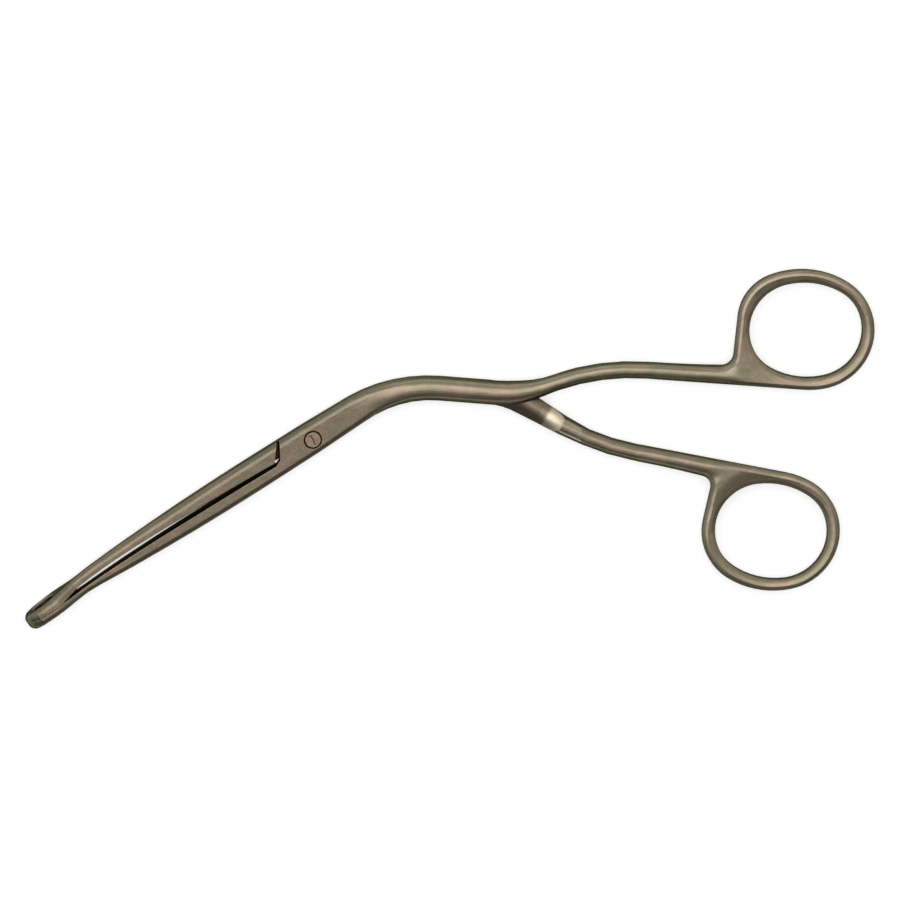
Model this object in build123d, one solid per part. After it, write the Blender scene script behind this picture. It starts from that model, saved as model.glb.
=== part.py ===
# Magill forceps, adult size: two crossed steel arms on one slotted pivot screw.
# Lengths are millimetres and angles are degrees. The pivot axis is Z, the joint's flat underside
# lies at Z = 0, and the finger rings lie towards +X. The jaws are modelled closed.
from build123d import *
from math import acos, atan2, ceil, cos, degrees, radians, sin, sqrt, tan
import os

# Joint: two flat plates, one over the other, on the pivot screw
joint_thickness = 5.2
joint_width = 9.0
joint_edge_radius = 1.7
plate_clearance = 0.06
shoulder_reach_outside = 9.2
shoulder_reach_inside = 12.6
plate_reach_outside = 8.2
plate_reach_inside = 10.8

# Pivot screw, with a countersunk head that lies flush in the top arm
screw_head_diameter = 4.3
screw_seat_diameter = 5.2
screw_shank_diameter = 2.8
screw_running_clearance = 0.04
screw_thread_clearance = 0.01
screw_tail_recess = 0.12
screw_slot_width = 0.4
screw_slot_length = 3.1
screw_slot_depth = 0.6
screw_slot_angle = -64.0

# Centre lines seen from above: the jaws and joint lie on one line, then comes the main bend
jaw_line_angle = 32.4
jaw_line_offset = 0.13
bend_distance = 27.4
bend_radius = 37.0
stack_angle = -5.5
top_stack_length = 35.7
top_rise_angle = 18.5
top_rise_length = 23.6
top_rise_radius = 35.0
top_settle_radius = 64.0
top_shank_angle = -5.1
top_ring_distance = 56.5
bottom_stack_length = 32.0
bottom_fall_angle = -30.9
bottom_fall_length = 29.55
bottom_fall_radius = 24.0
bottom_settle_radius = 67.0
bottom_shank_angle = -11.9
bottom_ring_distance = 53.85

# Arms: widths seen from above, and thicknesses along Z
stack_width = 6.9
stack_thickness = 4.8
stack_edge_radius = 2.1
shank_width = 4.7
handle_thickness = 4.0
handle_edge_radius = 1.8
run_out_radius = 12.0
top_run_out_place = 0.40
bottom_run_out_place = 0.37
top_narrowing_start = -5.0
top_narrowing_length = 14.0
bottom_narrowing_start = 2.6
bottom_narrowing_length = 24.0

# Finger rings, each ground round its opening. A lean turns the oval back, towards the pivot
ring_opening_length = 32.0
ring_opening_height = 27.1
ring_end_radius = 13.0
ring_wire_width = 3.5
ring_inner_edge_radius = 1.4
ring_root_width = 5.5
ring_root_radius = 3.3
top_ring_lean = 8.0
top_opening_lean = 3.5
top_ring_shoulder_radius = 13.4
bottom_ring_lean = 2.0
bottom_opening_lean = -2.5
bottom_ring_shoulder_radius = 16.0

# Jaws: a closed pair, measured over both
jaw_root_width = 9.25
jaw_root_distance = 20.0
jaw_middle_width = 7.9
jaw_middle_thickness = 4.2
jaw_middle_distance = 58.0
jaw_thinning_distance = 39.0
neck_width = 5.7
neck_thickness = 3.4
neck_edge_radius = 1.3
neck_distance = 75.5

# Slit between the closed jaws: where each inner edge lies, positive towards the upper jaw
upper_slit_root = 0.2
upper_slit_crest = 1.33
upper_slit_crest_distance = 57.0
upper_slit_end = 0.2
lower_slit_root = -0.85
lower_slit_crest = -0.35
lower_slit_crest_distance = 52.0
lower_slit_end = -1.05
slit_end_distance = 77.4

# Gripping loops at the jaw tips, measured over the closed pair
loop_turn_distance = 73.0
loop_turn_angle = 4.2
loop_turn_radius = 40.0
loop_full_distance = 86.0
loop_round_distance = 89.0
loop_round_length = 5.4
loop_height = 8.4
loop_pair_width = 4.6
loop_edge_radius = 1.6
loop_tip_radius = 1.5
window_distance = 87.3
window_length = 7.2
window_height = 5.2
window_end_radius = 2.3
window_rim = 0.35
parting_offset = -1.15
parting_start = 83.0
tooth_pitch = 1.1
tooth_depth = 0.45
grip_clearance = 0.14

# How finely the bars are drawn, and two small allowances
section_turn = 6.5
jaw_section_count = 5
loop_section_count = 5
last_section_angle = 83.0
largest_edge_share = 0.45
level_tolerance = 0.001
clear_of_start = 0.01
handle_lead = 1.0
middle_plane = joint_thickness / 2
up = Vector(0, 0, 1)


def heading(angle):
    """Unit vector in the XY plane."""
    return Vector(cos(radians(angle)), sin(radians(angle)), 0)


def left_of(direction):
    """The direction a quarter turn anticlockwise, seen from above."""
    return up.cross(direction)


def blend(low, high, share):
    """Smooth change from low to high as share goes from 0 to 1."""
    share = min(max(share, 0.0), 1.0)
    return low + (high - low) * share * share * (3 - 2 * share)


def swing(angle, radius, before):
    """Length of the tangent of an arc that turns the path from one heading to another."""
    return radius * tan(radians(abs(angle - before)) / 2)


jaw_line = heading(jaw_line_angle)
tip_line = heading(jaw_line_angle + loop_turn_angle) * -1
jaw_shift = left_of(jaw_line) * jaw_line_offset
turn_point = jaw_shift - jaw_line * loop_turn_distance
tip_distance = loop_round_distance + loop_round_length
bar_reach = loop_round_distance + loop_round_length * sin(radians(last_section_angle))
bar_point = turn_point + tip_line * (bar_reach - loop_turn_distance)
bend_point = jaw_shift + jaw_line * bend_distance
cut_reach = 2 * tip_distance


class Arm:
    """Centre line of one arm, from the tip of its jaw to the start of its finger-ring handle."""

    def __init__(self, stack_length, rise_angle, rise_length, rise_radius,
                 settle_radius, shank_angle, ring_distance, ring_side, ring_lean,
                 opening_lean, ring_shoulder_radius, run_out_place, narrowing_start, narrowing_length):
        self.shank_angle = shank_angle
        self.shank_line = heading(shank_angle)
        self.ring_side = ring_side
        self.ring_lean = ring_lean
        self.opening_lean = opening_lean
        self.ring_shoulder_radius = ring_shoulder_radius
        self.stack_end = bend_point + heading(stack_angle) * stack_length
        self.rise_end = self.stack_end + heading(rise_angle) * rise_length
        settle_length = swing(shank_angle, settle_radius, rise_angle)
        handle_place = settle_length + handle_lead
        self.handle_start = self.rise_end + self.shank_line * handle_place
        self.ring_distance = ring_distance - handle_place
        self.run_out_line = heading(rise_angle)
        self.run_out_point = (self.stack_end + self.run_out_line * (rise_length * run_out_place)
                              + up * middle_plane)
        route = [bar_point, turn_point, bend_point, self.stack_end, self.rise_end,
                 self.handle_start]
        bends = [loop_turn_radius, bend_radius, rise_radius, settle_radius]
        self.path = FilletPolyline(*route, radius=bends)
        self.path = Pos(0, 0, middle_plane) * self.path
        self.narrowing_start = bend_distance + stack_length + narrowing_start
        self.narrowing_length = narrowing_length
        self.places = [bar_reach - reach for reach in self.jaw_reaches()]
        corner = bar_reach
        saved = 0.0
        for run, radius, before, after in (
                (bend_distance, bend_radius, jaw_line_angle, stack_angle),
                (stack_length, rise_radius, stack_angle, rise_angle),
                (rise_length, settle_radius, rise_angle, shank_angle)):
            corner += run
            turn = abs(after - before)
            arc = radius * radians(turn)
            tangent = swing(after, radius, before)
            count = ceil(turn / section_turn)
            start = corner - saved - tangent
            self.places += [start + arc * index / count for index in range(count + 1)]
            saved += 2 * tangent - arc
        self.places.append(self.path.length)

    def jaw_reaches(self):
        """Distances from the pivot where the sections of the loops, jaws and joint stand."""
        count = loop_section_count
        angles = [last_section_angle * (1 - index / count) for index in range(count + 1)]
        rounded = [loop_round_distance + loop_round_length * sin(radians(angle))
                   for angle in angles]
        flare_step = (loop_full_distance - neck_distance) / count
        flare = [loop_full_distance - flare_step * index for index in range(count + 1)]
        jaw_start = loop_turn_distance - swing(loop_turn_angle, loop_turn_radius, 0)
        jaw_step = (jaw_start - jaw_root_distance) / jaw_section_count
        jaw = [jaw_start - jaw_step * index for index in range(jaw_section_count + 1)]
        return rounded + flare + jaw + [0.0]

    def loop_sizes(self, reach):
        """Width, thickness and edge radius over the loops, at a distance from the pivot."""
        share = (reach - neck_distance) / (tip_distance - neck_distance)
        width = neck_width + (loop_pair_width - neck_width) * share
        past_side = max(reach - tip_distance + loop_tip_radius, 0.0)
        width -= 2 * (loop_tip_radius - sqrt(loop_tip_radius ** 2 - past_side ** 2))
        share = (reach - neck_distance) / (loop_full_distance - neck_distance)
        thickness = blend(neck_thickness, loop_height, share)
        radius = blend(neck_edge_radius, loop_edge_radius, share)
        past_round = max(reach - loop_round_distance, 0.0) / loop_round_length
        thickness *= sqrt(1 - past_round ** 2)
        return width, thickness, min(radius, largest_edge_share * min(width, thickness))

    def sizes(self, from_pivot):
        """Width, thickness and edge radius of the closed instrument, at a distance from the
        pivot that is negative towards the jaws."""
        if from_pivot < -neck_distance:
            return self.loop_sizes(-from_pivot)
        if from_pivot < -jaw_middle_distance:
            share = (from_pivot + neck_distance) / (neck_distance - jaw_middle_distance)
            width = neck_width + (jaw_middle_width - neck_width) * share
            thickness = blend(neck_thickness, jaw_middle_thickness, share)
            return width, thickness, blend(neck_edge_radius, joint_edge_radius, share)
        if from_pivot < -jaw_root_distance:
            share = (from_pivot + jaw_middle_distance) / (jaw_middle_distance - jaw_root_distance)
            bow = sin(radians(90 * share))
            width = jaw_middle_width + (jaw_root_width - jaw_middle_width) * bow
            share = (from_pivot + jaw_middle_distance) / (jaw_middle_distance - jaw_thinning_distance)
            thickness = blend(jaw_middle_thickness, joint_thickness, share)
            return width, thickness, joint_edge_radius
        if from_pivot < 0:
            width = blend(jaw_root_width, joint_width, 1 + from_pivot / jaw_root_distance)
            return width, joint_thickness, joint_edge_radius
        if from_pivot < self.narrowing_start:
            share = from_pivot / (bend_distance + bend_radius / 4)
            return (blend(joint_width, stack_width, share),
                    blend(joint_thickness, stack_thickness, share),
                    blend(joint_edge_radius, stack_edge_radius, share))
        share = (from_pivot - self.narrowing_start) / self.narrowing_length
        return (blend(stack_width, shank_width, share),
                blend(stack_thickness, handle_thickness, share),
                blend(stack_edge_radius, handle_edge_radius, share))

    def section(self, distance):
        """Rounded section square to the centre line, at a distance along it."""
        place = self.path.position_at(distance, position_mode=PositionMode.LENGTH)
        along = self.path.tangent_at(distance, position_mode=PositionMode.LENGTH)
        plane = Plane(origin=place, x_dir=left_of(along), z_dir=along)
        return plane * RectangleRounded(*self.sizes(distance - bar_reach))


def arm_bar(arm):
    """The forged bar of one arm, lofted along its centre line at full thickness."""
    return loft([arm.section(place) for place in arm.places], ruled=True)


def oval_arcs(length, height, end_radius):
    """Centre offsets, side radius and join angle of an oval drawn with four tangent arcs."""
    long_half = length / 2
    short_half = height / 2
    side_radius = ((long_half ** 2 + short_half ** 2 - 2 * long_half * end_radius)
                   / (2 * (short_half - end_radius)))
    end_centre = long_half - end_radius
    side_centre = side_radius - short_half
    return end_centre, side_centre, side_radius, degrees(atan2(side_centre, end_centre))


def oval(length, height, end_radius):
    """An oval face with its long way along X."""
    end_centre, side_centre, side_radius, join = oval_arcs(length, height, end_radius)
    return make_face([
        CenterArc((end_centre, 0), end_radius, -join, 2 * join),
        CenterArc((0, -side_centre), side_radius, join, 180 - 2 * join),
        CenterArc((-end_centre, 0), end_radius, 180 - join, 2 * join),
        CenterArc((0, side_centre), side_radius, 180 + join, 180 - 2 * join)])


def level_edges(plate, height):
    """Edges that lie level at a height above or below a plate's middle, clear of its start."""
    return [edge for edge in plate.edges()
            if abs(abs((edge @ 0).Z) - height) < level_tolerance
            and abs(abs((edge @ 1).Z) - height) < level_tolerance
            and abs(abs(edge.center().Z) - height) < level_tolerance
            and edge.center().X > clear_of_start]


def ground_round(plate, thickness, radius, opening):
    """Grind round the rims of a plate's opening, or its outside: three flats that touch an arc."""
    quarter = radians(90)
    middle_flat = radius * (2 - sqrt(2))
    end_flat = radius * (tan(quarter / 4) - tan(quarter / 8))

    def rims():
        return [edge for face in plate.faces().filter_by(Plane.XY)
                for wire in (face.inner_wires() if opening else [face.outer_wire()])
                for edge in wire.edges() if edge.center().X > clear_of_start]

    plate = chamfer(rims(), middle_flat)
    return chamfer(rims() + level_edges(plate, thickness / 2 - middle_flat), end_flat)


def ring_handle(arm):
    """Straight end of the shank with its finger ring, one plate with well rounded edges."""
    half = shank_width / 2
    end_centre, side_centre, side_radius, join = oval_arcs(
        ring_opening_length, ring_opening_height, ring_end_radius)
    rim_end = ring_end_radius + ring_wire_width
    rim_side = side_radius + ring_wire_width
    lean = -arm.ring_lean
    middle = Vector(arm.ring_distance, ring_opening_height / 2 + ring_wire_width - half)
    root = Vector(middle.X - ring_opening_length / 2 - ring_wire_width, ring_root_width - half)

    rim_middle = Vector(middle.X, rim_side - half - side_centre * cos(radians(lean)))
    below = rim_middle + Vector(0, side_centre).rotate(Axis.Z, lean)
    above = rim_middle - Vector(0, side_centre).rotate(Axis.Z, lean)
    far = rim_middle + Vector(end_centre, 0).rotate(Axis.Z, lean)
    shoulder = degrees(acos((root.X - above.X) / rim_side))

    start = Line((0, -half), (0, half))
    near_edge = TangentArc(start @ 1, root, tangent=(1, 0))
    rim_below = CenterArc(below, rim_side, -90, 90 - join + lean)
    rim_far = CenterArc(far, rim_end, -join + lean, 2 * join)
    rim_above = CenterArc(above, rim_side, join + lean, shoulder - join - lean)
    side = Line(root, rim_above @ 1)
    far_edge = Line(rim_below @ 0, start @ 0)
    outline = make_face([start, near_edge, side, rim_above, rim_far, rim_below, far_edge])
    corner = outline.vertices().sort_by_distance(root)[0]
    outline = fillet(corner, ring_root_radius)
    corner = outline.vertices().sort_by_distance(rim_above @ 1)[0]
    outline = fillet(corner, arm.ring_shoulder_radius)
    opening = oval(ring_opening_length, ring_opening_height, ring_end_radius)
    opening = Pos(middle.X, middle.Y) * Rot(0, 0, -arm.opening_lean) * opening

    plate = extrude(outline, handle_thickness / 2, both=True)
    plate -= extrude(opening, handle_thickness, both=True)
    plate = ground_round(plate, handle_thickness, ring_inner_edge_radius, opening=True)
    plate = ground_round(plate, handle_thickness, handle_edge_radius, opening=False)

    if arm.ring_side < 0:
        plate = mirror(plate, Plane.XZ)
    place = arm.handle_start
    return Pos(place.X, place.Y, middle_plane) * Rot(0, 0, arm.shank_angle) * plate


def loop_window():
    """The oval window that runs through both loops, wider where it opens outside."""
    across = Plane(origin=turn_point + up * middle_plane, x_dir=tip_line,
                   z_dir=tip_line.cross(up))
    centre = Pos(window_distance - loop_turn_distance, 0)
    inner = centre * oval(window_length, window_height, window_end_radius)
    outer = centre * oval(window_length + 2 * window_rim, window_height + 2 * window_rim,
                          window_end_radius + window_rim)
    window = extrude(inner, neck_width, both=True)
    face = loop_pair_width / 2
    for side in (-1, 1):
        window += loft([Pos(0, 0, side * (face - window_rim)) * inner,
                        Pos(0, 0, side * face) * outer,
                        Pos(0, 0, side * neck_width) * outer], ruled=True)
    return across.location * window


def slit_points(jaw_side):
    """Root, crest and end of one jaw's bowed inner edge, in the front frame, whose X runs along
    the jaw line from the tips to the pivot."""
    if jaw_side > 0:
        return (Vector(-shoulder_reach_inside, upper_slit_root),
                Vector(-upper_slit_crest_distance, upper_slit_crest),
                Vector(-slit_end_distance, upper_slit_end))
    return (Vector(-shoulder_reach_inside, lower_slit_root),
            Vector(-lower_slit_crest_distance, lower_slit_crest),
            Vector(-slit_end_distance, lower_slit_end))


def tooth_points(jaw_side):
    """The toothed inner edge of one gripping loop, from its root to past the tip."""
    middle = parting_offset + jaw_side * grip_clearance / 2
    count = ceil((tip_distance + tooth_pitch - parting_start) / tooth_pitch * 2)
    return [Vector(-parting_start - index * tooth_pitch / 2,
                   middle + tooth_depth / 2 * (-1) ** index) for index in range(count + 1)]


def beyond(inner, outer):
    """A point as far past the outer one as that is from the inner one."""
    return outer + (outer - inner)


def other_jaw_space(jaw_side):
    """What is milled away, through the full thickness, where the other jaw lies."""
    plate_inner = Vector(-plate_reach_inside, 0)
    plate_outer = Vector(-plate_reach_outside, -jaw_side * joint_width / 2)
    root, crest, end = slit_points(jaw_side)
    teeth = tooth_points(jaw_side)
    side = -jaw_side * cut_reach
    outside = Polyline(teeth[-1], teeth[-1] + Vector(0, side), Vector(plate_outer.X, side),
                       beyond(plate_inner, plate_outer), plate_inner, root)
    back_bow = TangentArc(crest, root, tangent=(1, 0))
    front_bow = TangentArc(crest, end, tangent=(-1, 0))
    face = make_face([outside, back_bow, front_bow, Polyline(end, *teeth)])
    return extrude(face, cut_reach, both=True)


def lap_space(arm, jaw_side):
    """What is milled away over or under one arm's plate, so that the two arms lap."""
    shoulder_inner = slit_points(jaw_side)[0]
    shoulder_outer = Vector(-shoulder_reach_outside, jaw_side * joint_width / 2, 0)
    half = joint_width
    front = Polygon(shoulder_inner, beyond(shoulder_inner, shoulder_outer),
                    (half, jaw_side * half), (half, -jaw_side * half),
                    (shoulder_inner.X, -jaw_side * half), align=None)
    front = Rot(0, 0, jaw_line_angle) * front

    across_joint = left_of(jaw_line) * cut_reach
    across_arm = left_of(arm.run_out_line) * cut_reach
    run_out = Vector(arm.run_out_point.X, arm.run_out_point.Y, 0)
    rear = Polygon(across_joint, run_out + across_arm, run_out - across_arm, across_joint * -1,
                   align=None)

    flat = middle_plane - jaw_side * plate_clearance / 2
    space = Pos(0, 0, flat) * extrude(front + rear, cut_reach, dir=up * jaw_side)
    cutter_place = Plane(origin=run_out + up * (flat + jaw_side * run_out_radius),
                         z_dir=left_of(arm.run_out_line))
    return space + cutter_place * Cylinder(run_out_radius, 2 * cut_reach)


def screw_profile():
    """Half section of the pivot screw: flush head, cone under it and plain shank."""
    head = screw_head_diameter / 2
    shank = screw_shank_diameter / 2
    cone_tip = joint_thickness - screw_seat_diameter / 2 + screw_running_clearance * sqrt(2)
    return Polygon((0, joint_thickness), (head, joint_thickness), (head, cone_tip + head),
                   (shank, cone_tip + shank), (shank, screw_tail_recess), (0, screw_tail_recess),
                   align=None)


def pivot_screw():
    """The slotted screw that both arms turn on."""
    screw = revolve(Plane.XZ * screw_profile(), Axis.Z)
    slot = Box(screw_slot_length, screw_slot_width, 2 * screw_slot_depth)
    return screw - Pos(0, 0, joint_thickness) * Rot(0, 0, screw_slot_angle) * slot


def screw_seat():
    """The countersunk running hole in the top arm."""
    bore = screw_shank_diameter / 2 + screw_running_clearance
    reach = screw_seat_diameter
    cone_tip = joint_thickness - screw_seat_diameter / 2
    cone = Cone(0, reach, reach, align=(Align.CENTER, Align.CENTER, Align.MIN))
    return Pos(0, 0, cone_tip) * cone + Cylinder(bore, 4 * joint_thickness)


def finished_arm(arm, jaw_side):
    """One arm in one piece: finger ring, shank, joint plate and jaw."""
    body = arm_bar(arm) + ring_handle(arm)
    body -= loop_window()
    body -= Rot(0, 0, jaw_line_angle) * other_jaw_space(jaw_side)
    body -= lap_space(arm, jaw_side)
    if jaw_side > 0:
        thread = screw_shank_diameter / 2 + screw_thread_clearance
        return body - Cylinder(thread, 4 * joint_thickness)
    return body - screw_seat()


top = Arm(top_stack_length, top_rise_angle, top_rise_length, top_rise_radius,
          top_settle_radius, top_shank_angle, top_ring_distance, 1, top_ring_lean,
          top_opening_lean, top_ring_shoulder_radius, top_run_out_place,
          top_narrowing_start, top_narrowing_length)
bottom = Arm(bottom_stack_length, bottom_fall_angle, bottom_fall_length, bottom_fall_radius,
             bottom_settle_radius, bottom_shank_angle, bottom_ring_distance, -1,
             bottom_ring_lean, bottom_opening_lean, bottom_ring_shoulder_radius,
             bottom_run_out_place, bottom_narrowing_start, bottom_narrowing_length)

nodes = {
    "top_arm": finished_arm(top, -1),
    "bottom_arm": finished_arm(bottom, 1),
    "pivot_screw": pivot_screw(),
}

os.makedirs("parts", exist_ok=True)
for name, shape in nodes.items():
    export_step(shape, f"parts/{name}.step")
    print(name, "solids", len(shape.solids()), "volume", round(shape.volume, 1))
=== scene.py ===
# %% [markdown]
# Magill forceps in Blender
#
# Magill forceps guide a tube or catheter through the throat. Two steel arms cross and turn on one
# slotted screw. The whole instrument is satin stainless steel, so almost all of its look comes
# from how a few finishes catch the light: blasted skin, ground bevels, milled flats, and a dark
# line of painted shade where two pieces meet. The shapes come ready made from the fixed
# model. This lesson gives them their finish, a floor, soft light and a camera.

# %% Load the fixed model
import bpy
from math import atan2, cos, pi, radians, sin, tan
from mathutils import Matrix, Vector


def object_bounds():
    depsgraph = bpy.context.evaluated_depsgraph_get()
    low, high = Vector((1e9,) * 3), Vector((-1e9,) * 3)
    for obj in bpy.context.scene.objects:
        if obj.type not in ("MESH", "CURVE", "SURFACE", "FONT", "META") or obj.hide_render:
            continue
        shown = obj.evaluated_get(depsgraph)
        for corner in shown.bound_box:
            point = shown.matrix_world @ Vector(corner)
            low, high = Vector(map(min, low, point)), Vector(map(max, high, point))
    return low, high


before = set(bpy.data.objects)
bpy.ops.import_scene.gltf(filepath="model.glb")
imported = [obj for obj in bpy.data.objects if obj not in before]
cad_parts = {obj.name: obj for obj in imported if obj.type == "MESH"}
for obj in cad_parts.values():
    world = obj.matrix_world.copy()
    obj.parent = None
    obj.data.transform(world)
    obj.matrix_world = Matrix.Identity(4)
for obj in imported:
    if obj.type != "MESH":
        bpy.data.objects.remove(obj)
cad_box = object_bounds()
MM = 0.001
print("nodes:", ", ".join(sorted(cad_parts)))
print("size in mm:", [round((high - low) / MM, 1) for low, high in zip(*cad_box)])

# %% [markdown]
# Smooth shading without softening the real edges
#
# The model arrives as flat triangles. A steel bar ground on a belt has long soft curves and a few
# crisp edges. Subdividing the mesh would blur both. Shading smooth and then marking as sharp every
# edge that turns more than a set angle keeps the crisp ones. A Weighted Normal modifier lets the
# large flats keep their own normal, so the shading bends only inside the narrow bevels, as it does
# on a ground part.

# %% Shade the arms and the screw
SHARP_TURN = radians(20)
FLAT_WEIGHT = 60


def shade_ground(piece):
    """Smooth shading that stays crisp where the surface turns by more than SHARP_TURN."""
    mesh = piece.data
    mesh.shade_smooth()
    mesh.set_sharp_from_angle(angle=SHARP_TURN)
    weighted = piece.modifiers.new("large_flats_stay_flat", "WEIGHTED_NORMAL")
    weighted.mode = "FACE_AREA_WITH_ANGLE"
    weighted.keep_sharp = True
    weighted.weight = FLAT_WEIGHT


for name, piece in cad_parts.items():
    shade_ground(piece)
    print(name, "faces", len(piece.data.polygons), "vertices", len(piece.data.vertices))

# %% [markdown]
# Which way the steel was worked
#
# Each arm was ground and brushed along its length, so its faint marks run along the bar, round the
# bends and round the rings. A texture stretched along one world axis would cross the bar at the
# bends. Instead every vertex gets the distance along its arm and the distance across it, stored as
# an attribute that a material can read. The arm's centre line is a few corners, each rounded by an
# arc, taken from the named sizes of the instrument. A second attribute holds the place seen from
# the middle of the finger ring, because round the ring the marks follow a circle.

# %% The centre line of each arm, seen from above
JAW_ANGLE = radians(32.4)
STACK_ANGLE = radians(-5.5)
MAIN_BEND = 27.4 * MM
JAW_SHIFT = 0.13 * MM
JAW_REACH = 100 * MM
ARM_LINES = {
    "top_arm": [(STACK_ANGLE, 35.7), (radians(18.5), 23.6), (radians(-5.1), 56.5)],
    "bottom_arm": [(STACK_ANGLE, 32.0), (radians(-30.9), 29.55), (radians(-11.9), 53.85)],
}
BEND_RADII = {"top_arm": [37, 35, 64], "bottom_arm": [37, 24, 67]}
ARC_STEPS = 8


def flat(angle):
    """Unit vector in plan view."""
    return Vector((cos(angle), sin(angle)))


def arm_corners(name):
    """Corner points of an arm's centre line, from beyond the jaw tips to beside the ring."""
    pivot = flat(JAW_ANGLE + pi / 2) * JAW_SHIFT
    corners = [pivot - flat(JAW_ANGLE) * JAW_REACH, pivot + flat(JAW_ANGLE) * MAIN_BEND]
    for angle, length in ARM_LINES[name]:
        corners.append(corners[-1] + flat(angle) * length * MM)
    return corners


def rounded_line(corners, radii):
    """The same line with each inner corner replaced by an arc of short straight steps."""
    points = [corners[0]]
    for before, corner, after, radius in zip(corners, corners[1:], corners[2:], radii):
        come = (corner - before).normalized()
        go = (after - corner).normalized()
        turn = atan2(come.cross(go), come.dot(go))
        start = corner - come * (radius * tan(abs(turn) / 2))
        inward = Vector((-come.y, come.x)) * (radius if turn > 0 else -radius)
        for step in range(ARC_STEPS + 1):
            spoke = inward * -1
            spoke.rotate(Matrix.Rotation(turn * step / ARC_STEPS, 2))
            points.append(start + inward + spoke)
    return points + [corners[-1]]


centre_lines = {name: rounded_line(arm_corners(name), [radius * MM for radius in BEND_RADII[name]])
                for name in ARM_LINES}
print("points on each centre line:", [len(line) for line in centre_lines.values()])

# %% Distances along and across each arm
RING_OFFSET = 14.7 * MM
RING_SIDE = {"top_arm": 1, "bottom_arm": -1}


def ring_centre(name):
    """Middle of an arm's finger ring in plan view."""
    last_angle = ARM_LINES[name][-1][0]
    side = flat(last_angle + pi / 2) * (RING_OFFSET * RING_SIDE[name])
    return centre_lines[name][-1] + side


def along_and_across(point, line):
    """Distance along a line of straight runs, and distance from it, for the nearest run."""
    done = 0.0
    best = None
    for start, end in zip(line, line[1:]):
        run = end - start
        share = max(0.0, min(1.0, (point - start).dot(run) / run.length_squared))
        gap = point - (start + run * share)
        signed = gap.length if run.cross(gap) > 0 else -gap.length
        if best is None or gap.length < abs(best[1]) - 1e-9:
            best = (done + run.length * share, signed)
        done += run.length
    return best


def store_vectors(mesh, name, vectors):
    """Write one vector on every vertex."""
    layer = mesh.attributes.new(name, "FLOAT_VECTOR", "POINT")
    layer.data.foreach_set("vector", [value for vector in vectors for value in vector])


def store_grain(name):
    """Write (along, across, height) and the place seen from the ring, both in millimetres."""
    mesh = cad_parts[name].data
    line = centre_lines[name]
    centre = ring_centre(name)
    grain = []
    from_ring = []
    for vertex in mesh.vertices:
        along, across = along_and_across(vertex.co.xy, line)
        spoke = vertex.co.xy - centre
        grain.append((along / MM, across / MM, vertex.co.z / MM))
        from_ring.append((spoke.x / MM, spoke.y / MM, vertex.co.z / MM))
    store_vectors(mesh, "grain", grain)
    store_vectors(mesh, "from_ring", from_ring)
    print(name, "ring centre in mm:", [round(value / MM, 1) for value in centre])


for name in ARM_LINES:
    store_grain(name)

# %% [markdown]
# Shader maths as plain expressions
#
# A material is a graph of nodes. Wiring each one by hand hides the idea, so a small class wraps an
# output socket and lets values be added, subtracted and multiplied as numbers are. Anything that
# isn't arithmetic comes from one method that takes the node's type, its settings and its sockets.

# %% The socket wrapper and the material builder
class Signal:
    """One output socket; arithmetic on it adds Math nodes."""

    def __init__(self, paint, socket):
        self.paint = paint
        self.socket = socket

    def math(self, operation, *values):
        """Any Math node on values."""
        sockets = dict(enumerate(values))
        return self.paint.node("ShaderNodeMath", {"operation": operation}, sockets)

    def __add__(self, other):
        return self.math("ADD", self, other)

    def __sub__(self, other):
        return self.math("SUBTRACT", self, other)

    def __rsub__(self, other):
        return self.math("SUBTRACT", other, self)

    def __mul__(self, other):
        return self.math("MULTIPLY", self, other)

    __radd__ = __add__
    __rmul__ = __mul__

    def sibling(self, name):
        """Another output of the same node."""
        return Signal(self.paint, self.socket.node.outputs[name])

    def size(self):
        """The value without its sign."""
        return self.math("ABSOLUTE", self)

    def between(self, low, high):
        """0 below low, 1 above high, smooth between them."""
        settings = {"interpolation_type": "SMOOTHSTEP"}
        sockets = {"Value": self, "From Min": low, "From Max": high}
        return self.paint.node("ShaderNodeMapRange", settings, sockets)

    def span(self, start, full, fade, end):
        """0 up to start, 1 from full to fade, 0 from end on, and smooth between them."""
        return self.between(start, full) * (1 - self.between(fade, end))


class Paint:
    """The nodes of a material or of the world, while they are being built."""

    def __init__(self, owner):
        owner.use_nodes = True
        self.owner = owner
        self.tree = owner.node_tree
        self.tree.nodes.clear()

    def node(self, kind, settings=None, sockets=None, out=0):
        """Add a node: its settings first, then a value or a link for each named socket."""
        made = self.tree.nodes.new(kind)
        for key, value in (settings or {}).items():
            setattr(made, key, value)
        for key, value in (sockets or {}).items():
            if isinstance(value, Signal):
                self.tree.links.new(value.socket, made.inputs[key])
            else:
                made.inputs[key].default_value = value
        return Signal(self, made.outputs[out]) if made.outputs else None

    def mix(self, mask, first, second):
        """Colour that goes from the first to the second as the mask goes from 0 to 1."""
        settings = {"data_type": "RGBA"}
        return self.node("ShaderNodeMix", settings, {0: mask, 6: first, 7: second}, out=2)

    def scaled(self, vector, factors):
        """A vector with each part multiplied by its own factor."""
        return self.node("ShaderNodeVectorMath", {"operation": "MULTIPLY"},
                         {0: vector, 1: factors})

    def noise(self, vector, scale, detail=2.0, roughness=0.5):
        """Cloudy noise from 0 to 1."""
        return self.node("ShaderNodeTexNoise", None, {
            "Vector": vector, "Scale": scale, "Detail": detail, "Roughness": roughness})

    def bump(self, height, distance, normal):
        """A normal bent by a height field; distance is how far height 1 stands out, in metres."""
        return self.node("ShaderNodeBump", None, {
            "Height": height, "Distance": distance, "Normal": normal})

    def finish(self, shader, output="ShaderNodeOutputMaterial"):
        """Connect the shader to the output and return the material or world."""
        self.node(output, None, {"Surface": shader})
        return self.owner


print("shader maths ready")

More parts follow.
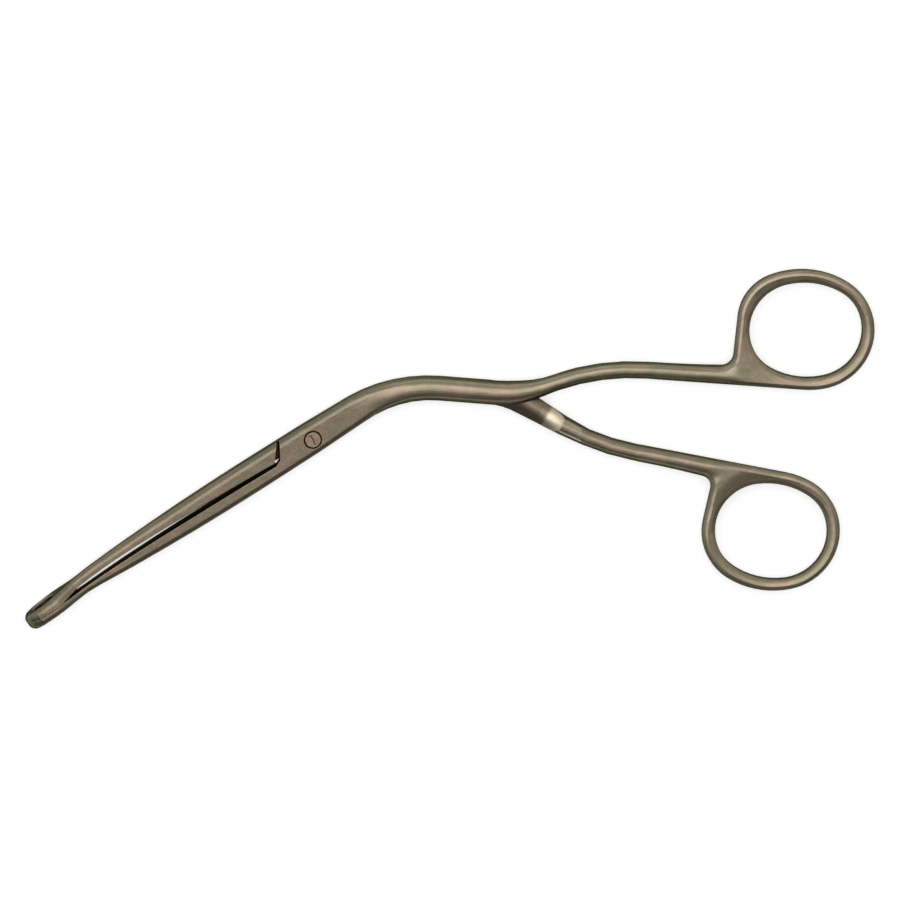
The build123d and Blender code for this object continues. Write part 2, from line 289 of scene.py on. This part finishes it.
# %% [markdown]
# Satin steel
#
# The arms are stainless steel, ground and then blasted to a satin grey that doesn't dazzle under
# a theatre lamp. Up close it isn't one grey: the sheen is patchy, slightly pink in one place and
# olive in the next, fine marks run along the bar, and rims that hands and trays rub are brighter.
# It is a metal, so its colour is the colour of its reflection. Steel that is blasted grows hardly
# brighter at a glancing angle, so the tint of the shader's edge is kept dark.

# %% Colours of the steel
PINK_STEEL = (0.340, 0.248, 0.190, 1)
OLIVE_STEEL = (0.228, 0.212, 0.138, 1)
JOINT_PINK = (0.212, 0.154, 0.116, 1)
JOINT_OLIVE = (0.168, 0.144, 0.097, 1)
MILLED_FLAT = (0.205, 0.160, 0.116, 1)
# painted highlight in the milled hollows
HOLLOW_HIGHLIGHT = (0.520, 0.445, 0.345, 1)
RUBBED_STEEL = (0.520, 0.430, 0.315, 1)
# painted shade on the sides of the bars and on the shoulders of the joint
FLANK_SHADE_STEEL = (0.112, 0.116, 0.080, 1)
# painted shade on the walls of the slit and of the loop windows
SLIT_SHADE_STEEL = (0.105, 0.085, 0.058, 1)
# painted shade in the notch before the joint and in the hole of the screw
NOTCH_SHADE_STEEL = (0.030, 0.022, 0.012, 1)
# painted shade deep in narrow gaps
CREVICE_SHADE_COLOUR = (0.010, 0.007, 0.004, 1)
EDGE_TINT = (0.16, 0.18, 0.14, 1)
# the palest colour is the painted highlight of the hollows, the darkest the painted shade of the
# notch and the screw hole
print("palest steel", HOLLOW_HIGHLIGHT[:3], "darkest", NOTCH_SHADE_STEEL[:3])

# %% Measures that both steels use
RISE_OF_WEAR = (0.004, 0.10)
# how deep in a gap the painted shade is full
DEPTH_OF_CREVICE_SHADE = (0.45, 0.95)


def object_position(paint):
    """Place on the piece, in millimetres: at rest it is the place in the fixed frame."""
    place = paint.node("ShaderNodeTexCoord", None, None, out="Object")
    return paint.scaled(place, (1 / MM, 1 / MM, 1 / MM))


def along_line(paint, vector, direction):
    """How far a vector reaches along a direction."""
    return paint.node("ShaderNodeVectorMath", {"operation": "DOT_PRODUCT"},
                      {0: vector, 1: direction}, out="Value")


def flat_length(paint, vector):
    """Length of a vector seen from above."""
    return paint.node("ShaderNodeVectorMath", {"operation": "LENGTH"},
                      {0: paint.scaled(vector, (1, 1, 0))}, out="Value")


def rim_wear(paint, radius):
    """1 on rims that stand out, and the rounded normal that softens them."""
    rounded = paint.node("ShaderNodeBevel", {"samples": 6}, {"Radius": radius})
    flat_normal = paint.node("ShaderNodeNewGeometry", None, None, out="Normal")
    return (1 - along_line(paint, rounded, flat_normal)).between(*RISE_OF_WEAR), rounded


def crevice_shade(paint, reach):
    """Painted shade: 1 deep in narrow gaps, 0 on open faces."""
    open_share = paint.node("ShaderNodeAmbientOcclusion", {"samples": 8},
                            {"Distance": reach}, out="AO")
    return (1 - open_share).between(*DEPTH_OF_CREVICE_SHADE)


print("wear starts where rounded and flat normal agree less than", 1 - RISE_OF_WEAR[0])

# %% [markdown]
# Where a point lies on an arm
#
# The finish changes from part to part of one forging, so the material has to know where it is. The
# class below holds what the masks need: the place on the piece, the distances along and across the
# bar, the distance from the middle of the ring, and how the face is turned. All of it is measured in
# the piece's own space, so the finish keeps its place when the forceps open.

# %% Read the place and the turn of the surface
MIDDLE = 2.6
JAW_LINE = (cos(JAW_ANGLE), sin(JAW_ANGLE), 0)
JAW_LEFT = (-sin(JAW_ANGLE), cos(JAW_ANGLE), 0)
# the side the light comes from: faces turned to it get less painted shade
LIGHT_SIDE_HEADING = radians(110)
LIGHT_SIDE = (cos(LIGHT_SIDE_HEADING), sin(LIGHT_SIDE_HEADING), 0)
RING_EDGE = (18.0, 21.5)
LEVEL_FACE = (0.90, 0.95)
LEANING_FACE = (0.3, 0.6)


class Spot:
    """What the masks read at a point of an arm, with lengths in millimetres."""

    def __init__(self, paint):
        self.paint = paint
        self.place = object_position(paint)
        self.x = paint.node("ShaderNodeSeparateXYZ", None, {0: self.place}, out="X")
        self.y = self.x.sibling("Y")
        self.rise = (self.x.sibling("Z") - MIDDLE).size()
        self.reach = along_line(paint, self.place, JAW_LINE) * -1
        self.side = along_line(paint, self.place, JAW_LEFT)

        normal = paint.node("ShaderNodeTexCoord", None, None, out="Normal")
        self.facing_up = along_line(paint, normal, (0, 0, 1))
        self.upright = self.facing_up.size()
        self.level = self.upright.between(*LEVEL_FACE)
        self.wall = 1 - self.upright.between(*LEANING_FACE)
        self.to_light_side = along_line(paint, normal, LIGHT_SIDE)
        self.ahead = along_line(paint, normal, JAW_LINE).size()
        self.leftward = along_line(paint, normal, JAW_LEFT).size()

        self.grain = self.stored("grain")
        self.along = paint.node("ShaderNodeSeparateXYZ", None, {0: self.grain}, out="X")
        self.across = self.along.sibling("Y")
        self.from_ring = self.stored("from_ring")
        self.radius = flat_length(paint, self.from_ring)
        self.ring = 1 - self.radius.between(*RING_EDGE)

    def stored(self, name):
        """A vector stored on the mesh."""
        return self.paint.node("ShaderNodeAttribute", {"attribute_name": name}, None, out="Vector")


print("the joint's middle is at", MIDDLE, "mm, a ring ends", RING_EDGE[0], "mm from its middle")

# %% [markdown]
# Jaws and joint
#
# The faces between the jaws, the notch before the joint, the hole of the screw and the windows of
# the gripping loops are painted dark, as painted shade where little light reaches. Each mask
# multiplies a span along the jaw line by a condition on how the face is turned. The four numbers
# of a span say where the mask starts, where it is full, where it begins to fade and where it has
# gone.

# %% Masks of the jaws and the joint
JAW_SPAN = (9, 30, 72, 80)
SLIT_SPAN = (11.5, 12.5, 83.5, 86)
SLIT_SIDE = 0.2
SLIT_HALF = (1.45, 1.75)
NOTCH_SPAN = (7.0, 7.6, 13.2, 14)
NOTCH_WALLS = (0.35, 0.5)
NOTCH_FLOOR = (0.2, 0.4)
LOOP_SPAN = (82.8, 83.4, 91.4, 92)
LOOP_HALF = (2.5, 3.2)
LOOP_HEIGHT = (2.4, 2.7)
LOOP_WALLS = (0.55, 0.75)
SEAT_RADIUS = (2.72, 2.80)


def jaws(spot):
    """1 on the jaws, between the joint and the loops."""
    return spot.reach.span(*JAW_SPAN)


def slit_wall_shade(spot):
    """Painted shade: 1 on the walls between the jaws."""
    narrow = 1 - (spot.side - SLIT_SIDE).size().between(*SLIT_HALF)
    return narrow * spot.reach.span(*SLIT_SPAN) * spot.wall


def notch_shade(spot):
    """Painted shade: 1 inside the V before the joint, on the walls that cross the arm and on its
    floor.
    """
    walls = spot.ahead.between(*NOTCH_WALLS) * spot.wall
    floor = spot.level * (1 - spot.rise.between(*NOTCH_FLOOR))
    return spot.reach.span(*NOTCH_SPAN) * walls.math("MAXIMUM", walls, floor)


def screw_hole_shade(spot):
    """Painted shade: 1 in the hole of the screw, below the face of the joint."""
    radius = flat_length(spot.paint, spot.place)
    return (1 - radius.between(*SEAT_RADIUS)) * (1 - spot.level)


def loop_window_shade(spot):
    """Painted shade: 1 on the walls of the window that passes through each gripping loop from side
    to side.
    """
    narrow = 1 - (spot.side - SLIT_SIDE).size().between(*LOOP_HALF)
    low = 1 - spot.rise.between(*LOOP_HEIGHT)
    walls = 1 - spot.leftward.between(*LOOP_WALLS)
    return spot.reach.span(*LOOP_SPAN) * walls * low * narrow


print("slit from", SLIT_SPAN[0], "to", SLIT_SPAN[-1], "mm along the jaws")

# %% [markdown]
# Where the arms cross
#
# Where the arms cross, each was milled to half its thickness, and the cutter left a smooth flat that
# ends in a hollow the width of the cutter. The hollow gets a painted highlight, the palest colour of
# the instrument. It needs no piece of its own, only the masks below. The hollow faces up on the arm
# that turns towards -Y and down on the arm that turns towards +Y, so the sign of one product finds
# both.

# %% Masks of the crossing
CROSSING_SPAN = (45, 46, 75, 76)
FORK_SPAN = (60, 61, 75, 76)
FORK_Y = 10.3
FLAT_FACE = (0.90, 0.96)
FLAT_DEPTH = (0.1, 0.3)
HOLLOW_DEPTH = (0.05, 0.25, 1.9, 2.1)
HOLLOW_LEAN = (0.78, 0.84)


def milled_flat(spot):
    """1 on the flats of the crossing."""
    middle_height = 1 - spot.rise.between(*FLAT_DEPTH)
    return spot.upright.between(*FLAT_FACE) * middle_height * spot.x.span(*CROSSING_SPAN)


def hollow_highlight(spot):
    """Painted highlight: 1 in the hollow at the end of a flat."""
    own_side = (spot.facing_up * (FORK_Y - spot.y)).between(0, 0.2)
    depth = spot.rise.span(*HOLLOW_DEPTH)
    return spot.upright.between(*HOLLOW_LEAN) * depth * own_side * spot.x.span(*FORK_SPAN)


print("the arms part at y", FORK_Y, "mm")

# %% [markdown]
# Crown and flank
#
# The sides of each bar get a dull olive colour, a painted shade that grows as a face leans away
# from level. Behind the joint the bars are ground slightly crowned, and the finger rings are dished
# towards the finger. Both turns are small enough to be made in the shading alone: a bump whose
# height falls with the square of the distance across the bar bends the normal as a real crown does,
# and one that rises with the radius dishes the ring.

# %% Painted shade on the flanks, brushed marks and the ground shape
FLANK_SHADE_LEAN = (0.72, 0.97)
MARKS_ALONG = 0.10
MARKS_ACROSS = 2.6
MARKS_ROUND = 1.6
CROWN_RADIUS = 4.5
CROWN_WIDTH = 3.4
CROWN_START = (112, 134)
SHANK_CROWN = 0.35
SHANK_START = (145, 165)
CROWN_END = (21, 27)
RING_DISH = 1.0
DISH_RADII = (12.0, 20.5)


def flank_shade(spot):
    """Painted shade: 1 on the sides of a bar, less on the rings, least on faces turned to the light.
    """
    return 1 - (spot.upright + spot.ring * 0.12 + spot.to_light_side * 0.22).between(*FLANK_SHADE_LEAN)


def brushed_marks(spot):
    """Fine marks along the bar, and round the ring, from 0 to 1."""
    paint = spot.paint
    bar = paint.noise(paint.scaled(spot.grain, (MARKS_ALONG, MARKS_ACROSS, MARKS_ACROSS)), 1.0,
                      detail=3)
    spoke = paint.node("ShaderNodeSeparateXYZ", None, {0: spot.from_ring}, out="X")
    turn = spoke.math("ARCTAN2", spoke.sibling("Y"), spoke)
    round_ring = paint.node("ShaderNodeCombineXYZ", None, {
        0: turn * MARKS_ROUND, 1: spot.radius * MARKS_ACROSS, 2: spoke.sibling("Z") * MARKS_ACROSS})
    hoop = paint.noise(round_ring, 1.0, detail=3)
    return bar * (1 - spot.ring) + hoop * spot.ring


def ground_shape(spot):
    """Height in millimetres of the crown on the bars and of the dish on the rings."""
    bars = spot.along.between(*CROWN_START) * spot.radius.between(*CROWN_END)
    bars = bars * (1 + SHANK_CROWN * spot.along.between(*SHANK_START))
    across = spot.across.math("MINIMUM", spot.across.size(), CROWN_WIDTH)
    crown = across * across * bars * (-0.5 / CROWN_RADIUS)
    return crown + spot.radius.between(*DISH_RADII) * RING_DISH


print("crown radius", CROWN_RADIUS, "mm, the rings rise", RING_DISH, "mm outwards")

# %% [markdown]
# One steel for both arms
#
# The colours are laid over each other: the patchy skin of the forging, the darker joint and jaws,
# the milled flats, a painted highlight in the milled hollows, painted shade on the flanks, in the
# slit, the notch and the hole of the screw, the rubbed rims, and last painted shade in narrow gaps.
# Less of the painted shade falls on the side of the jaws that faces the light. Roughness follows
# the brushed marks, and four bumps bend the normal: the ground shape, the grit of the blasting, the
# brushed marks, and the slight waviness of a hand-ground bar. The noise scales are per millimetre.

# %% Paint the arms
JOINT_END = (108, 132)
JOINT_COVER = 0.92
SHOULDER_SHADE_LEAN = (0.93, 0.995)
LIGHT_SIDE_SPAN = (0, 0.4)
PATCH_SCALE = 0.16
MOTTLE_SCALE = 1.7
GRIT_SCALE, GRIT_DEPTH = 9.0, 0.004 * MM
WAVE_SCALE, WAVE_DEPTH = 0.32, 0.08 * MM
MARK_DEPTH = 0.020 * MM
RIM_RADIUS = 0.25 * MM
GAP_REACH = 1.4 * MM


def skin_colour(spot, patches, mottle, marks):
    """The patchy skin, darker on the joint and the jaws."""
    paint = spot.paint
    tone = (patches * 0.7 + marks.between(0.38, 0.66) * 0.7 - 0.2).between(0, 1)
    joint_tone = (patches * 0.6 + mottle.between(0.35, 0.65) * 0.5 - 0.05).between(0, 1)
    bar = paint.mix(tone, OLIVE_STEEL, PINK_STEEL)
    joint = paint.mix(joint_tone, JOINT_OLIVE, JOINT_PINK)
    return paint.mix((1 - spot.along.between(*JOINT_END)) * JOINT_COVER, bar, joint)


def flank_shade_share(spot):
    """How much painted shade shows, on the sides of the bars and on the shoulders of the joint."""
    jaw = jaws(spot)
    joint = 1 - spot.along.between(*JOINT_END)
    # painted shade on the shoulders of the joint
    shoulder = joint * (1 - spot.upright.between(*SHOULDER_SHADE_LEAN)) * (0.55 - 0.25 * jaw)
    # less painted shade on the side of the jaws that faces the light
    jaw_light_side = jaw * spot.to_light_side.between(*LIGHT_SIDE_SPAN)
    side = flank_shade(spot) * (1 - hollow_highlight(spot)) * (0.95 - 0.45 * jaw_light_side)
    return side.math("MAXIMUM", side, shoulder)


def satin_steel(name):
    """The finish of an arm."""
    paint = Paint(bpy.data.materials.new(name))
    spot = Spot(paint)
    patches = paint.noise(spot.place, PATCH_SCALE, detail=3).between(0.35, 0.68)
    mottle = paint.noise(spot.place, MOTTLE_SCALE, detail=4, roughness=0.6)
    marks = brushed_marks(spot)
    wear, rounded = rim_wear(paint, RIM_RADIUS)
    shade_in_gaps = crevice_shade(paint, GAP_REACH)
    # painted shade between the jaws and in the loop windows
    slit_and_window_shade = (slit_wall_shade(spot) + loop_window_shade(spot)).between(0, 1)
    # painted shade in the notch and in the hole of the screw
    gap = (notch_shade(spot) + screw_hole_shade(spot)).between(0, 1)

    colour = skin_colour(spot, patches, mottle, marks)
    colour = paint.mix(milled_flat(spot), colour, MILLED_FLAT)
    # painted highlight in the milled hollows
    colour = paint.mix(hollow_highlight(spot), colour, HOLLOW_HIGHLIGHT)
    # painted shade on the sides of the bars and the shoulders of the joint
    colour = paint.mix(flank_shade_share(spot), colour, FLANK_SHADE_STEEL)
    colour = paint.mix(mottle.between(0.35, 0.75) * 0.14, colour, RUBBED_STEEL)
    colour = paint.mix(slit_and_window_shade, colour, SLIT_SHADE_STEEL)
    colour = paint.mix(gap, colour, NOTCH_SHADE_STEEL)
    colour = paint.mix(wear * (0.4 - 0.3 * (slit_and_window_shade + gap).between(0, 1)), colour, RUBBED_STEEL)
    # painted shade deep in narrow gaps
    colour = paint.mix(shade_in_gaps, colour, CREVICE_SHADE_COLOUR)

    roughness = 0.25 + 0.16 * marks + 0.08 * mottle + 0.30 * shade_in_gaps - 0.05 * wear
    skin = paint.bump(ground_shape(spot), MM, rounded)
    skin = paint.bump(paint.noise(spot.place, GRIT_SCALE), GRIT_DEPTH, skin)
    skin = paint.bump(marks, MARK_DEPTH, skin)
    skin = paint.bump(paint.noise(spot.place, WAVE_SCALE, detail=1), WAVE_DEPTH, skin)
    shader = paint.node("ShaderNodeBsdfPrincipled", None, {
        "Base Color": colour, "Metallic": 1.0, "Roughness": roughness, "Normal": skin,
        "Specular Tint": EDGE_TINT})
    return paint.finish(shader)


def dress(node, material):
    """Give a fixed node its material."""
    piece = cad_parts[node]
    piece.data.materials.clear()
    piece.data.materials.append(material)
    print(node, "is finished in", material.name)


arm_steel = satin_steel("satin_steel")
dress("top_arm", arm_steel)
dress("bottom_arm", arm_steel)

# %% [markdown]
# The pivot screw
#
# The screw was turned on a lathe and faced flush with the joint, so its head carries faint rings
# round its axis. A thin dark circle of painted shade marks the gap to its seat. Rings need only
# the distance from the axis, which is the length of the flat part of the position.

# %% Paint the screw
RING_FREQUENCY = 26.0
RING_DEPTH = 0.0015 * MM
SCREW_GRIT = 0.003 * MM
SCREW_RIM = 0.12 * MM
SCREW_GAP = 0.8 * MM


def turned_steel(name):
    """Steel with fine rings round the pivot axis."""
    paint = Paint(bpy.data.materials.new(name))
    place = object_position(paint)
    radius = flat_length(paint, place)
    rings = radius.math("SINE", radius * RING_FREQUENCY)
    mottle = paint.noise(place, 1.4, detail=4)
    wear, rounded = rim_wear(paint, SCREW_RIM)
    shade_in_gaps = crevice_shade(paint, SCREW_GAP)
    colour = paint.mix(mottle.between(0.3, 0.7), JOINT_PINK, PINK_STEEL)
    colour = paint.mix(wear * 0.4, colour, RUBBED_STEEL)
    # painted shade in the gap round the head
    colour = paint.mix(shade_in_gaps, colour, CREVICE_SHADE_COLOUR)
    roughness = 0.30 + 0.10 * mottle + 0.04 * rings + 0.3 * shade_in_gaps
    skin = paint.bump(rings, RING_DEPTH, rounded)
    skin = paint.bump(paint.noise(place, GRIT_SCALE), SCREW_GRIT, skin)
    shader = paint.node("ShaderNodeBsdfPrincipled", None, {
        "Base Color": colour, "Metallic": 1.0, "Roughness": roughness, "Normal": skin,
        "Specular Tint": EDGE_TINT})
    return paint.finish(shader)


dress("pivot_screw", turned_steel("turned_steel"))

# %% [markdown]
# Floor and light
#
# The instrument lies on a pale table. The floor is a plain diffuse sheet, with a little of its
# white shown only to the camera and to reflections, so that it keeps the soft shadow. Metal looks
# like what surrounds it, so the light is one large soft panel, a little to the side that the camera
# leans to: its reflection lies along the bars, just above the middle of each.

# %% Make the floor
FLOOR_SIZE = 12.0
FLOOR_COLOUR = (0.70, 0.70, 0.70, 1)
FLOOR_GLOW = 0.50
FLOOR_GAP = 0.02 * MM


def seen_directly(paint):
    """1 for rays from the camera and for reflections, 0 for the light that reaches matt faces."""
    camera = paint.node("ShaderNodeLightPath", None, None, out="Is Camera Ray")
    glossy = camera.sibling("Is Glossy Ray")
    through = camera.sibling("Is Transmission Ray")
    return camera.math("MAXIMUM", camera, glossy.math("MAXIMUM", glossy, through))


def floor_material():
    """A pale matt sheet that shows white to the camera where no shadow falls."""
    paint = Paint(bpy.data.materials.new("pale_table"))
    sheet = paint.node("ShaderNodeBsdfDiffuse", None, {"Color": FLOOR_COLOUR})
    white_where_seen = paint.mix(seen_directly(paint), (0, 0, 0, 1), (1, 1, 1, 1))
    glow = paint.node("ShaderNodeEmission", None, {
        "Color": white_where_seen, "Strength": FLOOR_GLOW})
    both = paint.node("ShaderNodeAddShader", None, {0: sheet, 1: glow})
    return paint.finish(both)


lowest = cad_box[0].z - FLOOR_GAP
half = FLOOR_SIZE / 2
floor_mesh = bpy.data.meshes.new("table_top")
floor_corners = [(-half, -half, lowest), (half, -half, lowest), (half, half, lowest),
                 (-half, half, lowest)]
floor_mesh.from_pydata(floor_corners, [], [(0, 1, 2, 3)])
floor_mesh.materials.append(floor_material())
floor = bpy.data.objects.new("table_top", floor_mesh)
bpy.context.scene.collection.objects.link(floor)
print("floor at", round(lowest / MM, 2), "mm")

# %% Light the table
middle = (cad_box[0] + cad_box[1]) / 2


def soft_panel(name, place, size, radiance):
    """An area lamp that faces the middle of the instrument, as bright as radiance."""
    lamp = bpy.data.lights.new(name, "AREA")
    lamp.shape = "RECTANGLE"
    lamp.size, lamp.size_y = size
    lamp.energy = radiance * pi * size[0] * size[1]
    holder = bpy.data.objects.new(name, lamp)
    holder.location = middle + Vector(place)
    holder.rotation_euler = (-Vector(place)).to_track_quat("-Z", "Y").to_euler()
    bpy.context.scene.collection.objects.link(holder)
    print(name, "is", round(Vector(place).length, 2), "m away")


soft_panel("overhead_panel", place=(-0.15, 0.24, 0.96), size=(1.06, 1.06), radiance=1.52)

# %% [markdown]
# The room
#
# The window of a room is on one side: here the side of the picture's upper edge, so that the lower
# shoulder of every bar stays dark. The world below goes from dim to bright on how far a direction
# points to that side, and is pale near the horizon, so that low views get a pale backdrop too.

# %% Surround the table with a room
WINDOW_HEADING = radians(100)
TO_WINDOW = (cos(WINDOW_HEADING), sin(WINDOW_HEADING), 0)
WINDOW_BLEND = (-0.62, 0.05)
HORIZON = 0.85
HORIZON_BLEND = (0.02, 0.10)
BRIGHT_SIDE = 0.78
DIM_SIDE = 0.14


def surround_light():
    """A room with a bright side and a dim side, pale at the horizon."""
    paint = Paint(bpy.data.worlds.new("surround"))
    direction = paint.node("ShaderNodeTexCoord", None, None, out="Generated")
    height = paint.node("ShaderNodeSeparateXYZ", None, {0: direction}, out="Z")
    bright = along_line(paint, direction, TO_WINDOW).between(*WINDOW_BLEND)
    ceiling = DIM_SIDE + (BRIGHT_SIDE - DIM_SIDE) * bright
    low = 1 - height.between(*HORIZON_BLEND)
    light = paint.node("ShaderNodeBackground", None, {
        "Color": (1, 1, 1, 1), "Strength": ceiling + low * (HORIZON - ceiling)})
    return paint.finish(light, "ShaderNodeOutputWorld")


bpy.context.scene.world = surround_light()

# %% [markdown]
# Camera
#
# The picture was taken from nearly overhead with a long lens: the instrument's thickness shows as
# a thin side on one flank only. The tilt and its direction came from the ellipse of the screw and
# of the finger rings. The camera's right and up are built from them, and then its place follows
# from where the pivot falls in the picture.

# %% Place the camera
TILT = radians(16.0)
TILT_HEADING = radians(122.6)
PIXELS_PER_MM = 3.597
PICTURE = 900
PIVOT_PIXEL = (313, 440)
JOINT_TOP = 5.2 * MM
LENS = 1200.0

lean = Vector((cos(TILT_HEADING) * cos(TILT), sin(TILT_HEADING) * cos(TILT), -sin(TILT)))
level = Vector((sin(TILT_HEADING), -cos(TILT_HEADING), 0))
right = lean * cos(TILT_HEADING) + level * sin(TILT_HEADING)
upward = lean * sin(TILT_HEADING) - level * cos(TILT_HEADING)
backward = right.cross(upward)

across = (PICTURE / 2 - PIVOT_PIXEL[0]) / PIXELS_PER_MM * MM
down = (PICTURE / 2 - PIVOT_PIXEL[1]) / PIXELS_PER_MM * MM
target = Vector((0, 0, JOINT_TOP)) + right * across - upward * down

camera_data = bpy.data.cameras.new("camera")
camera_data.lens = LENS
distance = PICTURE / PIXELS_PER_MM * MM * LENS / camera_data.sensor_width
camera = bpy.data.objects.new("camera", camera_data)
turn = Matrix((right, upward, backward)).transposed().to_4x4()
camera.matrix_world = Matrix.Translation(target + backward * distance) @ turn
camera_data.clip_end = 4 * distance
bpy.context.scene.collection.objects.link(camera)
bpy.context.scene.camera = camera
bpy.context.scene.view_settings.view_transform = "Standard"
print("camera is", round(distance, 2), "m away")
